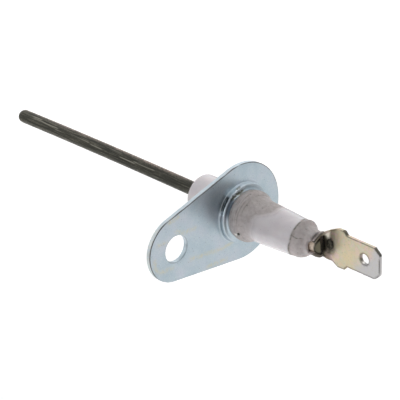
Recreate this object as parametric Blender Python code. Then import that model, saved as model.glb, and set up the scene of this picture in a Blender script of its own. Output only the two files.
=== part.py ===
"""Ignition electrode for a gas boiler: a wire electrode in a ceramic insulator with a screw-on flange.

Frame (metres): +X runs along the electrode rod, from the burner towards the cable terminal.
The origin lies in the flange's flat seating face on the burner side, midway between the rod's
axis and the screw hole. The flange's screw lobe points towards -Y, and +Z is up.
Every piece is modelled about the rod's axis and hangs on an empty that stands on that axis.
"""

from math import acos, cos, pi, radians, sin

import bmesh
import bpy
from mathutils import Matrix, Vector

MM = 0.001

# Clearance that every piece keeps to its neighbours.
GAP = 0.3 * MM

# Electrode rod: heat-resistant wire.
ROD_RADIUS = 1.375 * MM
ROD_TIP_X = -65.3 * MM
ROD_END_X = 21.3 * MM
STOP_RADIUS = 2.0 * MM           # upset stop that keeps the rod from being pulled out
STOP_LENGTH = 0.8 * MM
CUT_SLOPE = radians(14)          # the wire cutter leaves a blunt ridge across the rod's end

# Ceramic insulator.
NOSE_RADIUS = 4.05 * MM
NOSE_LENGTH = 9.9 * MM
NOSE_EDGE = 0.45 * MM
SHOULDER_RADIUS = 4.6 * MM       # inside the flange's collar
BELT_RADIUS = 5.0 * MM           # widest part, above the collar
BELT_START_X = 3.2 * MM
BELT_END_X = 3.9 * MM
BARREL_START_X = 5.9 * MM
BARREL_START_RADIUS = 4.15 * MM
BARREL_END_X = 16.7 * MM
BARREL_END_RADIUS = 3.5 * MM
PROFILE_STEPS = 9                # points along each eased curve of the profile
WAIST_RADIUS = 2.45 * MM
CERAMIC_END_X = 19.5 * MM
POCKET_RADIUS = 2.6 * MM         # cement pocket in the front face
POCKET_DEPTH = 3.4 * MM

# Flange: 1 mm sheet steel, two lobes joined by tangents, with a drawn collar.
PLATE_THICKNESS = 1.0 * MM
BIG_LOBE_RADIUS = 9.7 * MM
SMALL_LOBE_RADIUS = 6.45 * MM
LOBE_SPACING = 16.7 * MM
SCREW_HOLE_RADIUS = 2.65 * MM
PLATE_EDGE = 0.12 * MM
COLLAR_RADIUS = 5.9 * MM
COLLAR_TOP_X = 2.05 * MM
COLLAR_FILLET = 0.35 * MM
COLLAR_RIM = 0.22 * MM
SEAT_THICKNESS = 0.5 * MM        # lip left under the collar, which the ceramic rests on

# Packing washer between the flange's lip and the ceramic's shoulder.
WASHER_THICKNESS = 0.3 * MM

# Terminal: 6.3 x 0.8 mm push-on blade with a barrel folded round the rod.
BLADE_THICKNESS = 0.8 * MM
BLADE_HALF_WIDTH = 3.15 * MM
BLADE_END_X = 33.8 * MM
BLADE_START_X = 25.85 * MM
BLADE_FACE_Y = 1.8 * MM          # the blade's near face stands this far behind the rod's axis
BLADE_TWIST = radians(-5)        # the terminal is turned a little about the rod
CHAMFER_LENGTH = 1.45 * MM
CHAMFER_WIDTH = 1.3 * MM
TAB_HOLE_RADIUS = 1.1 * MM
TAB_HOLE_INSET = 3.6 * MM
CUTTER_LENGTH = 4 * BLADE_THICKNESS   # of the tool that cuts the hole
SHOULDER_UP = 3.7 * MM           # reach of the shoulders where the blade begins
SHOULDER_DOWN = 3.95 * MM
SHOULDER_START_X = 23.5 * MM
SHOULDER_END_X = 25.3 * MM
NECK_UP = 3.0 * MM
NECK_DOWN = 2.5 * MM
FOLD_SHEET = 0.6 * MM            # the sheet is thinned where it is folded round the rod
FOLD_START_UP_X = 20.5 * MM      # the barrel's edge towards the ceramic runs at a slant
FOLD_START_DOWN_X = 19.8 * MM
FOLD_END_X = 21.3 * MM
FLAT_START_X = 22.7 * MM         # from here on the sheet is flat
WRAP_UP = radians(138)
WRAP_DOWN = radians(150)
CENTRE_COLUMNS = 6               # grid columns on each side of the terminal's middle line
FLAP_COLUMNS = 10                # further columns on each side in the folded flaps
FOLD_ROWS = 3
FLARE_ROWS = 8

# Weld bead between the rod's end and the blade.
BEAD_LENGTH = 1.3 * MM
BEAD_WIDTH = 2.0 * MM
BEAD_HEIGHT = 0.75 * MM

# Facets round a full turn, and along smaller curves.
TURNS = 64
SMALL_TURNS = 40
TIP_STEPS = 8                    # along the rod's round tip, a quarter turn
EDGE_STEPS = 5                   # along the rounded edge of the ceramic's nose
COLLAR_STEPS = 4                 # along the collar's fillet and along its rim
BIG_LOBE_STEPS = 44
SMALL_LOBE_STEPS = 22
BEAD_TURNS = 20
BEAD_RINGS = 12
MERGE = 1e-7
SMOOTH_ANGLE = radians(32)

COLOURS = {
    "rod_alloy": ((0.09, 0.085, 0.07), 0.55, 0.85),
    "ceramic": ((0.60, 0.57, 0.57), 0.35, 0.0),
    "zinc": ((0.42, 0.48, 0.53), 0.35, 0.9),
    "packing": ((0.20, 0.20, 0.21), 0.8, 0.2),
    "cement": ((0.50, 0.48, 0.44), 0.9, 0.0),
    "tab_steel": ((0.52, 0.47, 0.40), 0.35, 0.9),
    "weld": ((0.05, 0.05, 0.045), 0.6, 0.7),
}


def clear_scene():
    """Start from an empty scene."""
    for item in list(bpy.data.objects):
        bpy.data.objects.remove(item, do_unlink=True)


def material(name):
    """One plain material for each kind of stuff, from COLOURS."""
    colour, roughness, metallic = COLOURS[name]
    made = bpy.data.materials.new(name)
    made.use_nodes = True
    shader = made.node_tree.nodes["Principled BSDF"]
    shader.inputs["Base Color"].default_value = (*colour, 1.0)
    shader.inputs["Roughness"].default_value = roughness
    shader.inputs["Metallic"].default_value = metallic
    made.diffuse_color = (*colour, 1.0)
    return made


def to_object(name, bm, stuff):
    """Turn a bmesh into a named object with smooth round faces and sharp corners."""
    bmesh.ops.remove_doubles(bm, verts=bm.verts, dist=MERGE)
    bmesh.ops.recalc_face_normals(bm, faces=bm.faces)
    mesh = bpy.data.meshes.new(name)
    bm.to_mesh(mesh)
    bm.free()
    mesh.shade_smooth()
    mesh.set_sharp_from_angle(angle=SMOOTH_ANGLE)
    mesh.materials.append(material(stuff))
    made = bpy.data.objects.new(name, mesh)
    bpy.context.scene.collection.objects.link(made)
    return made


def arc(centre_x, centre_r, radius, start, end, steps):
    """Points (x, r) along an arc; angles in degrees, 0 towards +X, 90 away from the axis."""
    angles = [radians(start + (end - start) * i / steps) for i in range(steps + 1)]
    return [(centre_x + radius * cos(a), centre_r + radius * sin(a)) for a in angles]


def turn(bm, profile, closed, segments=TURNS):
    """Spin a profile of (x, r) points once round the X axis."""
    verts = [bm.verts.new((x, r, 0.0)) for x, r in profile]
    edges = [bm.edges.new(pair) for pair in zip(verts, verts[1:])]
    if closed:
        edges.append(bm.edges.new((verts[-1], verts[0])))
    bmesh.ops.spin(bm, geom=verts + edges, cent=(0, 0, 0), axis=(1, 0, 0),
                   angle=2 * pi, steps=segments, use_merge=True)


def turned_object(name, profile, closed, stuff, segments=TURNS):
    """An object made by turning a single profile."""
    bm = bmesh.new()
    turn(bm, profile, closed, segments)
    return to_object(name, bm, stuff)


def cut_ridge(bm, ridge_x):
    """Cut the rod's end with two sloping planes that meet in a ridge along Z."""
    for side in (-1, 1):
        geometry = bm.verts[:] + bm.edges[:] + bm.faces[:]
        normal = Vector((cos(CUT_SLOPE), side * sin(CUT_SLOPE), 0.0))
        cut = bmesh.ops.bisect_plane(bm, geom=geometry, dist=MERGE, plane_co=(ridge_x, 0, 0),
                                     plane_no=normal, clear_outer=True)
        rim = [item for item in cut["geom_cut"] if isinstance(item, bmesh.types.BMEdge)]
        bmesh.ops.triangle_fill(bm, edges=rim, use_beauty=True)


def build_rod():
    """Round-tipped wire with an upset stop in the ceramic and a cropped end in the terminal."""
    stop_end = -NOSE_LENGTH + POCKET_DEPTH - GAP
    stop_start = stop_end - STOP_LENGTH
    flare = STOP_RADIUS - ROD_RADIUS
    profile = [(ROD_TIP_X, 0.0)]
    profile += arc(ROD_TIP_X + ROD_RADIUS, 0.0, ROD_RADIUS, 180, 90, TIP_STEPS)[1:]
    profile += [(stop_start - flare, ROD_RADIUS), (stop_start, STOP_RADIUS)]
    profile += [(stop_end, STOP_RADIUS), (stop_end, ROD_RADIUS)]
    profile += [(ROD_END_X, ROD_RADIUS), (ROD_END_X, 0.0)]
    bm = bmesh.new()
    turn(bm, profile, closed=False, segments=SMALL_TURNS)
    bmesh.ops.remove_doubles(bm, verts=bm.verts, dist=MERGE)
    cut_ridge(bm, ROD_END_X - MERGE)
    return to_object("electrode_rod", bm, "rod_alloy")


def washer_faces():
    """The two X positions of the packing washer's faces."""
    start = SEAT_THICKNESS + GAP
    return start, start + WASHER_THICKNESS


def eased(start, end):
    """S-shaped stretch of profile between two (x, r) points, level at both ends."""
    points = []
    for i in range(PROFILE_STEPS + 1):
        share = i / PROFILE_STEPS
        ease = (1 - cos(pi * share)) / 2
        x = start[0] + (end[0] - start[0]) * share
        r = start[1] + (end[1] - start[1]) * ease
        points.append((x, r))
    return points


def ceramic_outline():
    """Outer profile of the ceramic, from the front face's rim to the waist's end."""
    shoulder_x = washer_faces()[1] + GAP
    points = arc(-NOSE_LENGTH + NOSE_EDGE, NOSE_RADIUS - NOSE_EDGE, NOSE_EDGE, 180, 90, EDGE_STEPS)
    points += [(shoulder_x, NOSE_RADIUS), (shoulder_x, SHOULDER_RADIUS)]
    points += [(COLLAR_TOP_X, SHOULDER_RADIUS), (BELT_START_X, BELT_RADIUS)]
    points += eased((BELT_END_X, BELT_RADIUS), (BARREL_START_X, BARREL_START_RADIUS))
    points += eased((BARREL_END_X, BARREL_END_RADIUS), (CERAMIC_END_X, WAIST_RADIUS))
    return points


def build_ceramic():
    """Insulator with a nose, a seated shoulder, a tapering barrel and a narrow waist."""
    bore = ROD_RADIUS + GAP
    pocket_x = -NOSE_LENGTH + POCKET_DEPTH
    profile = ceramic_outline()
    profile += [(CERAMIC_END_X, bore), (pocket_x, bore)]
    profile += [(pocket_x, POCKET_RADIUS), (-NOSE_LENGTH, POCKET_RADIUS)]
    return turned_object("ceramic_insulator", profile, True, "ceramic")


def build_cement():
    """Ring of cement that fills the pocket round the rod, in front of its stop."""
    stop_start = -NOSE_LENGTH + POCKET_DEPTH - GAP - STOP_LENGTH
    rear = stop_start - (STOP_RADIUS - ROD_RADIUS) - GAP
    front = -NOSE_LENGTH + GAP
    inner = ROD_RADIUS + GAP
    outer = POCKET_RADIUS - GAP
    profile = [(front, inner), (front, outer), (rear, outer), (rear, inner)]
    return turned_object("bore_cement", profile, True, "cement")


def build_washer():
    """Flat packing washer under the ceramic's shoulder."""
    start, end = washer_faces()
    inner = NOSE_RADIUS + GAP
    outer = COLLAR_RADIUS - collar_wall() - GAP
    profile = [(start, inner), (start, outer), (end, outer), (end, inner)]
    return turned_object("seat_washer", profile, True, "packing")


def collar_wall():
    """Thickness of the drawn collar's wall: what is left outside the ceramic's clearance."""
    return COLLAR_RADIUS - (SHOULDER_RADIUS + GAP)


def lobe_outline(x, inset):
    """Corner points of the two-lobe outline at height x, drawn in by inset."""
    tangent = acos((BIG_LOBE_RADIUS - SMALL_LOBE_RADIUS) / LOBE_SPACING)
    points = []
    for radius, centre, start, end, steps in (
        (BIG_LOBE_RADIUS, 0.0, tangent, 2 * pi - tangent, BIG_LOBE_STEPS),
        (SMALL_LOBE_RADIUS, LOBE_SPACING, -tangent, tangent, SMALL_LOBE_STEPS),
    ):
        for i in range(steps + 1):
            angle = start + (end - start) * i / steps
            along = centre + (radius - inset) * cos(angle)
            across = (radius - inset) * sin(angle)
            points.append(Vector((x, -along, across)))
    return points


def circle(x, radius, centre_y, steps):
    """Points of a circle across the X axis."""
    angles = [2 * pi * i / steps for i in range(steps)]
    return [Vector((x, centre_y + radius * cos(a), radius * sin(a))) for a in angles]


def loop(bm, points):
    """Closed ring of edges through the points."""
    verts = [bm.verts.new(point) for point in points]
    return [bm.edges.new((verts[i - 1], verts[i])) for i in range(len(verts))]


def wall(bm, rings):
    """Bridge each ring of edges to the next; returns the first and last ring."""
    for first, second in zip(rings, rings[1:]):
        bmesh.ops.bridge_loops(bm, edges=first + second)
    return rings[0], rings[-1]


def collar_rings(bm):
    """Rings of the collar, from its foot on the plate over the rim and down to the bore."""
    inner = COLLAR_RADIUS - collar_wall()
    foot = arc(PLATE_THICKNESS + COLLAR_FILLET, COLLAR_RADIUS + COLLAR_FILLET,
               COLLAR_FILLET, 180, 270, COLLAR_STEPS)
    rim = arc(COLLAR_TOP_X - COLLAR_RIM, COLLAR_RADIUS - COLLAR_RIM,
              COLLAR_RIM, 90, 0, COLLAR_STEPS)
    bore = NOSE_RADIUS + GAP
    profile = foot + rim
    profile += [(COLLAR_TOP_X, inner), (SEAT_THICKNESS, inner)]
    profile += [(SEAT_THICKNESS, bore), (0.0, bore)]
    return [loop(bm, circle(x, r, 0.0, TURNS)) for x, r in profile]


def build_flange():
    """Two-lobe plate with a drawn collar for the ceramic and one screw hole."""
    bm = bmesh.new()
    levels = ((0.0, PLATE_EDGE), (PLATE_EDGE, 0.0),
              (PLATE_THICKNESS - PLATE_EDGE, 0.0), (PLATE_THICKNESS, PLATE_EDGE))
    outer = [loop(bm, lobe_outline(x, inset)) for x, inset in levels]
    under_outline, top_outline = wall(bm, outer)
    hole = [loop(bm, circle(x, SCREW_HOLE_RADIUS + lip, -LOBE_SPACING, SMALL_TURNS))
            for x, lip in levels]
    under_hole, top_hole = wall(bm, hole)
    top_collar, under_bore = wall(bm, collar_rings(bm))
    bmesh.ops.triangle_fill(bm, edges=top_outline + top_hole + top_collar, use_beauty=True)
    bmesh.ops.triangle_fill(bm, edges=under_outline + under_hole + under_bore, use_beauty=True)
    return to_object("flange_plate", bm, "zinc")


def between(x, table):
    """Value at x on the straight lines through a table of (x, value) corners."""
    for (x0, v0), (x1, v1) in zip(table, table[1:]):
        if x <= x1:
            share = max(0.0, (x - x0) / (x1 - x0))
            return v0 + (v1 - v0) * share
    return table[-1][1]


def blank_reach(x, side):
    """How far the flat blank reaches at x, without the folded flaps; side is 1 up, -1 down."""
    neck, shoulder = (NECK_UP, SHOULDER_UP) if side > 0 else (NECK_DOWN, SHOULDER_DOWN)
    return between(x, (
        (FOLD_END_X, neck), (SHOULDER_START_X, shoulder),
        (SHOULDER_END_X, shoulder), (BLADE_START_X, BLADE_HALF_WIDTH),
        (BLADE_END_X - CHAMFER_LENGTH, BLADE_HALF_WIDTH),
        (BLADE_END_X, BLADE_HALF_WIDTH - CHAMFER_WIDTH)))


def fold_share(x):
    """1 in the folded barrel, 0 in the flat blade, eased in between."""
    share = between(x, ((FOLD_END_X, 0.0), (FLAT_START_X, 1.0)))
    return (1 + cos(pi * share)) / 2


def fold_radius():
    """Radius of the folded sheet's middle surface."""
    return ROD_RADIUS + GAP + FOLD_SHEET / 2


def sheet_point(x, across, side):
    """Point on the terminal's sheet; side is -1 on the rod's side and 1 on the outer side."""
    fold = fold_share(x)
    thickness = BLADE_THICKNESS + (FOLD_SHEET - BLADE_THICKNESS) * fold
    flat_y = BLADE_FACE_Y + BLADE_THICKNESS / 2
    floor_y = flat_y + (fold_radius() - flat_y) * fold
    offset = side * thickness / 2
    if x >= FLAT_START_X:
        return Vector((x, floor_y + offset, across))
    radius = fold_radius() / fold
    angle = across / radius
    reach = radius + offset
    return Vector((x, floor_y - radius + reach * cos(angle), reach * sin(angle)))


def column_reach(column, x):
    """Distance across the sheet of a grid column; the outermost columns are in the flaps."""
    side = 1 if column > 0 else -1
    reach = blank_reach(x, side)
    outward = abs(column) - CENTRE_COLUMNS
    if outward > 0:
        flap_reach = fold_radius() * (WRAP_UP if side > 0 else WRAP_DOWN)
        reach += (flap_reach - reach) * outward / FLAP_COLUMNS
        return side * reach
    return side * reach * abs(column) / CENTRE_COLUMNS


def flat_rows():
    """X positions of the grid rows in the flat shoulders and blade, up to the blade's tip."""
    return (SHOULDER_START_X, SHOULDER_END_X, BLADE_START_X,
            BLADE_END_X - CHAMFER_LENGTH, BLADE_END_X)


def row_x(row, column):
    """X position of a grid row; rows in the barrel run at a slant near its edge."""
    if row < FOLD_ROWS:
        share = (column / CENTRE_COLUMNS + 1) / 2
        share = min(1.0, max(0.0, share))
        start = FOLD_START_DOWN_X + (FOLD_START_UP_X - FOLD_START_DOWN_X) * share
        return start + (FOLD_END_X - start) * row / FOLD_ROWS
    if row <= FOLD_ROWS + FLARE_ROWS:
        return FOLD_END_X + (FLAT_START_X - FOLD_END_X) * (row - FOLD_ROWS) / FLARE_ROWS
    return flat_rows()[row - FOLD_ROWS - FLARE_ROWS - 1]


def sheet_cells():
    """Grid cells that hold metal: the middle all along, and the flaps in the barrel only."""
    cells = set()
    for row in range(FOLD_ROWS + FLARE_ROWS + len(flat_rows())):
        reach = CENTRE_COLUMNS + (FLAP_COLUMNS if row < FOLD_ROWS else 0)
        for column in range(-reach, reach):
            cells.add((row, column))
    return cells


def build_sheet(bm):
    """Closed sheet: faces on both sides, and a rim wherever a cell has no neighbour."""
    cells = sheet_cells()
    verts = {}

    def corner(row, column, side):
        key = (row, column, side)
        if key not in verts:
            x = row_x(row, column)
            verts[key] = bm.verts.new(sheet_point(x, column_reach(column, x), side))
        return verts[key]

    for row, column in sorted(cells):
        square = [(row, column), (row + 1, column), (row + 1, column + 1), (row, column + 1)]
        beside = [(row, column - 1), (row + 1, column), (row, column + 1), (row - 1, column)]
        for side in (-1, 1):
            bm.faces.new([corner(*place, side) for place in square])
        for i, cell in enumerate(beside):
            if cell not in cells:
                start = square[i]
                end = square[(i + 1) % 4]
                bm.faces.new((corner(*start, -1), corner(*end, -1),
                              corner(*end, 1), corner(*start, 1)))


def tab_hole_cutter():
    """Cylinder that cuts the detent hole through the blade."""
    bpy.ops.mesh.primitive_cylinder_add(
        vertices=SMALL_TURNS, radius=TAB_HOLE_RADIUS, depth=CUTTER_LENGTH)
    cutter = bpy.context.active_object
    cutter.name = "tab_hole_cutter"
    cutter.data.transform(Matrix.Rotation(pi / 2, 4, "X"))
    cutter.location = (BLADE_END_X - TAB_HOLE_INSET, BLADE_FACE_Y + BLADE_THICKNESS / 2, 0.0)
    cutter.hide_render = True
    cutter.display_type = "WIRE"
    return cutter


def build_terminal():
    """Push-on blade and folded barrel, bent from one sheet and turned about the rod."""
    bm = bmesh.new()
    build_sheet(bm)
    terminal = to_object("terminal_tab", bm, "tab_steel")
    cutter = tab_hole_cutter()
    cutter.parent = terminal
    cut = terminal.modifiers.new("detent_hole", "BOOLEAN")
    cut.operation = "DIFFERENCE"
    cut.solver = "EXACT"
    cut.object = cutter
    terminal.rotation_euler.x = BLADE_TWIST
    return terminal


def build_weld_bead():
    """Low dome of weld metal on the blade, just past the rod's end."""
    bm = bmesh.new()
    bmesh.ops.create_uvsphere(bm, u_segments=BEAD_TURNS, v_segments=BEAD_RINGS, radius=1.0)
    bmesh.ops.bisect_plane(bm, geom=bm.verts[:] + bm.edges[:] + bm.faces[:], dist=MERGE,
                           plane_co=(0, 0, 0), plane_no=(0, 1, 0), clear_outer=True)
    rim = [edge for edge in bm.edges if edge.is_boundary]
    bmesh.ops.triangle_fill(bm, edges=rim, use_beauty=True)
    bmesh.ops.scale(bm, vec=(BEAD_LENGTH / 2, BEAD_HEIGHT, BEAD_WIDTH / 2), verts=bm.verts)
    centre = Vector((ROD_END_X + GAP + BEAD_LENGTH / 2, BLADE_FACE_Y - GAP, 0.0))
    bmesh.ops.translate(bm, vec=centre, verts=bm.verts)
    bead = to_object("weld_bead", bm, "weld")
    bead.rotation_euler.x = BLADE_TWIST
    return bead


def main():
    clear_scene()
    assembly = bpy.data.objects.new("ignition_electrode", None)
    assembly.location.y = LOBE_SPACING / 2
    bpy.context.scene.collection.objects.link(assembly)
    for build in (build_rod, build_ceramic, build_cement, build_washer,
                  build_flange, build_terminal, build_weld_bead):
        build().parent = assembly


main()
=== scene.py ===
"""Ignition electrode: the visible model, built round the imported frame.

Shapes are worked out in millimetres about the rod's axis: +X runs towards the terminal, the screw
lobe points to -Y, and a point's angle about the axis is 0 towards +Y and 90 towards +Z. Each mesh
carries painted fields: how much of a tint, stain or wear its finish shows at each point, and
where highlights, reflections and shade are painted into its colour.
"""

from math import acos, ceil, cos, pi, radians, sin, tan

import bmesh
import bpy
import numpy as np
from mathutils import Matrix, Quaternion, Vector, noise
from mathutils.geometry import delaunay_2d_cdt


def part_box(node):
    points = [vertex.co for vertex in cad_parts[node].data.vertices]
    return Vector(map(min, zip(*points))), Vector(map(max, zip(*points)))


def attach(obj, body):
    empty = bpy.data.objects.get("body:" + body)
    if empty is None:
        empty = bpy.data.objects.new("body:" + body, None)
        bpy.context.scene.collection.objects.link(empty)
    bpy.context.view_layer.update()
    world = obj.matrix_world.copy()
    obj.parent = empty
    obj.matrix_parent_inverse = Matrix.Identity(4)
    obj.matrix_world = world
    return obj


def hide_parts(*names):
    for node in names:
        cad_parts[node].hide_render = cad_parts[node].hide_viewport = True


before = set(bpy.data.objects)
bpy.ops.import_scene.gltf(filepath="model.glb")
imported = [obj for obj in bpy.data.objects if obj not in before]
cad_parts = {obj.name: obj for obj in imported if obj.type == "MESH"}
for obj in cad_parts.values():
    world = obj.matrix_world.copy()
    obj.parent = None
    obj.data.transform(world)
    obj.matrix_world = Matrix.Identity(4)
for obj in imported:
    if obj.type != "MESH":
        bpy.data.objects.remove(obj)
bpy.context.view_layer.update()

MM = 0.001
ROD_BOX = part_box("electrode_rod")
AXIS = Vector((0.0, (ROD_BOX[0].y + ROD_BOX[1].y) / 2, 0.0))

# Rod.
ROD_RADIUS = 1.375
ROD_TIP_X = ROD_BOX[0].x / MM
ROD_END_X = ROD_BOX[1].x / MM
CUT_SLOPE = radians(14)

# Flange.
PLATE_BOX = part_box("flange_plate")
PLATE = 1.0
COLLAR_TOP_X = PLATE_BOX[1].x / MM
BIG_LOBE = PLATE_BOX[1].z / MM
SMALL_LOBE = 6.45
SCREW_Y = (PLATE_BOX[0].y - AXIS.y) / MM + SMALL_LOBE
SCREW_HOLE = 2.65
COLLAR_RADIUS = 5.9
COLLAR_BORE = 4.9
LIP_BORE = 4.35
LIP_X = 0.5

# Terminal.
TAB_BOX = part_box("terminal_tab")
BLADE_END_X = TAB_BOX[1].x / MM
BLADE_WIDTH = 6.3
BLADE = 0.7
BLADE_MIDDLE_Y = 2.15
TAB_HOLE = 1.02
TAB_HOLE_X = BLADE_END_X - 3.66
TWIST = radians(-5)
FOLD_SHEET = 0.6
FOLD_RADIUS = 1.975
FOLD_END_X = 21.3
FLAT_START_X = 22.35


# ---------------- numbers and fields

def ease(low, high, value):
    """0 below low, 1 above high and smooth in between; low may be above high."""
    share = np.clip((value - low) / (high - low), 0.0, 1.0)
    return share * share * (3 - 2 * share)


def bell(offset, width):
    """1 at offset 0, fading over the width."""
    return np.exp(-(offset / width) ** 2)


def window(value, start, full, fading, end):
    """1 from full to fading, 0 before start and after end, and smooth in between."""
    return ease(start, full, value) * ease(end, fading, value)


def grain(points, size, seed):
    """Smooth noise, about -1 to 1; size is that of its features, one number or one for each axis."""
    scaled = points / np.array(size) + seed * 7.31
    return np.array([noise.noise(p) for p in scaled.tolist()])


def polar(points):
    """Distance from the rod's axis, and angle about it in degrees from 0 to 360."""
    angle = np.degrees(np.arctan2(points[:, 2], points[:, 1])) % 360
    return np.hypot(points[:, 1], points[:, 2]), angle


def turn_between(angle, centre):
    """Signed difference of two angles in degrees, -180 to 180."""
    return (angle - centre + 180) % 360 - 180


def facing(angle, centre, width):
    """1 at the centre angle, fading over the width, both in degrees."""
    return bell(turn_between(angle, centre), width)


# ---------------- meshes

WELD_DISTANCE = 1e-7
NO_LENGTH = 1e-8


def add_piece(name, node, points, faces, fields, stuff, sharp=40):
    """Mesh of points in mm about the rod's axis; fields are painted on it as attributes.
    Edges that turn by more than sharp degrees stay sharp."""
    bm = bmesh.new()
    for point in points:
        bm.verts.new(Vector(point) * MM + AXIS)
    bm.verts.ensure_lookup_table()
    for face in faces:
        bm.faces.new([bm.verts[i] for i in face])
    layers = {key: bm.verts.layers.float.new(key) for key in fields}
    for key, layer in layers.items():
        for vert, value in zip(bm.verts, fields[key]):
            vert[layer] = value
    bmesh.ops.remove_doubles(bm, verts=bm.verts, dist=WELD_DISTANCE)
    bmesh.ops.dissolve_degenerate(bm, edges=bm.edges, dist=NO_LENGTH)
    bmesh.ops.recalc_face_normals(bm, faces=bm.faces)
    mesh = bpy.data.meshes.new(name)
    bm.to_mesh(mesh)
    bm.free()
    mesh.shade_smooth()
    mesh.set_sharp_from_angle(angle=radians(sharp))
    mesh.materials.append(stuff)
    piece = bpy.data.objects.new(name, mesh)
    bpy.context.scene.collection.objects.link(piece)
    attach(piece, "root")
    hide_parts(node)
    return piece


def spun(profile, turns, closed):
    """Points and quads of an (x, r) profile spun about the axis."""
    angles = np.arange(turns) * 2 * pi / turns
    x, r = np.array(profile).T
    points = np.stack([np.repeat(x[:, None], turns, 1), np.outer(r, np.cos(angles)),
                       np.outer(r, np.sin(angles))], axis=2).reshape(-1, 3)
    faces = []
    for row in range(len(x) if closed else len(x) - 1):
        here, ahead = row * turns, (row + 1) % len(x) * turns
        for i in range(turns):
            j = (i + 1) % turns
            faces.append((here + i, here + j, ahead + j, ahead + i))
    return points, faces


def cad_profile(node):
    """Corners (x, r) of a turned CAD node in order: its edges in the half plane towards +Y."""
    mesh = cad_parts[node].data
    keys = [tuple(round(c / MM, 3) for c in v.co - AXIS) for v in mesh.vertices]
    near = 0.001
    links = {}
    for edge in mesh.edges:
        a, b = (keys[i] for i in edge.vertices)
        if a != b and all(abs(k[2]) < near and k[1] > -near for k in (a, b)):
            links.setdefault(a[:2], set()).add(b[:2])
            links.setdefault(b[:2], set()).add(a[:2])
    at = min(links)
    path = [at]
    while True:
        ahead = sorted(k for k in links[at] if k not in path)
        if not ahead:
            return path
        at = ahead[-1] if len(path) == 1 else ahead[0]
        path.append(at)


def resampled(points, step, closed):
    """The same line with extra points, so that none are further apart than step."""
    out = []
    ends = points[1:] + points[:1] if closed else points[1:]
    for start, end in zip(points, ends):
        start, end = np.array(start), np.array(end)
        count = max(1, ceil(np.linalg.norm(end - start) / step))
        out.extend(start + (end - start) * k / count for k in range(count))
    if not closed:
        out.append(np.array(points[-1]))
    return np.array(out)


def softened(line, reach):
    """A closed line with its corners rounded, by averaging each point with its neighbours."""
    shifts = np.arange(-3 * reach, 3 * reach + 1)
    weights = bell(shifts, reach)
    return sum(w * np.roll(line, k, axis=0) for k, w in zip(shifts, weights)) / weights.sum()


def normals_of(line):
    """Left-hand unit normals of a closed 2D line."""
    along = np.roll(line, -1, axis=0) - np.roll(line, 1, axis=0)
    left = np.stack([-along[:, 1], along[:, 0]], axis=1)
    return left / np.linalg.norm(left, axis=1)[:, None]


def rounded_outline(corners, step):
    """Closed outline through (x, y, radius) corners, with a point at least every step."""
    points = []
    for i, (x, y, radius) in enumerate(corners):
        here = np.array((x, y))
        back = np.array(corners[i - 1][:2]) - here
        ahead = np.array(corners[(i + 1) % len(corners)][:2]) - here
        back, ahead = back / np.linalg.norm(back), ahead / np.linalg.norm(ahead)
        half = acos(max(-1.0, min(1.0, float(back @ ahead)))) / 2
        middle = (back + ahead) / np.linalg.norm(back + ahead)
        centre = here + middle * radius / sin(half)
        start = here + back * radius / tan(half) - centre
        end = here + ahead * radius / tan(half) - centre
        turn = pi - 2 * half
        steps = max(2, ceil(turn * radius / step))
        for k in range(steps + 1):
            share = k / steps
            arm = (sin((1 - share) * turn) * start + sin(share * turn) * end) / sin(turn)
            points.append(centre + arm)
    return resampled(points, step, closed=True)


def circle(centre, radius, step):
    """Clockwise circle, for a hole."""
    count = ceil(2 * pi * radius / step)
    angles = -np.arange(count) * 2 * pi / count
    return np.array(centre) + radius * np.stack([np.cos(angles), np.sin(angles)], axis=1)


def inside(points, loops):
    """True for each point inside the outer loop and outside the holes (even-odd rule)."""
    odd = np.zeros(len(points), bool)
    for line in loops:
        nxt = np.roll(line, -1, axis=0)
        for (x0, y0), (x1, y1) in zip(line, nxt):
            if y0 == y1:
                continue
            crosses = (y0 > points[:, 1]) != (y1 > points[:, 1])
            odd ^= crosses & (points[:, 0] < x0 + (points[:, 1] - y0) * (x1 - x0) / (y1 - y0))
    return odd


def distance_to(points, loops):
    """Distance from each point to the nearest loop point."""
    rim = np.concatenate(loops)
    return np.array([np.hypot(*(rim - p).T).min() for p in points])


def filled(loops, step):
    """Points strewn evenly between the loops, and the triangles that join them all."""
    low, high = loops[0].min(0), loops[0].max(0)
    rows = np.arange(low[1], high[1], step * sin(pi / 3))
    strewn = [(x + step / 2 * (k % 2), y) for k, y in enumerate(rows)
              for x in np.arange(low[0], high[0], step)]
    strewn = np.array(strewn)
    strewn = strewn[inside(strewn, loops)]
    strewn = strewn[distance_to(strewn, loops) > 0.75 * step]
    every = np.concatenate(loops + [strewn])
    edges = []
    first = 0
    for line in loops:
        count = len(line)
        edges += [(first + i, first + (i + 1) % count) for i in range(count)]
        first += count
    made = delaunay_2d_cdt([Vector(p) for p in every.tolist()], edges, [], 1, 1e-7)
    source = [origins[0] for origins in made[3]]
    triangles = np.array([[source[i] for i in face] for face in made[2]])
    kept = inside(every[triangles].mean(1), loops)
    return strewn, [tuple(face) for face in triangles[kept].tolist()]


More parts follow.
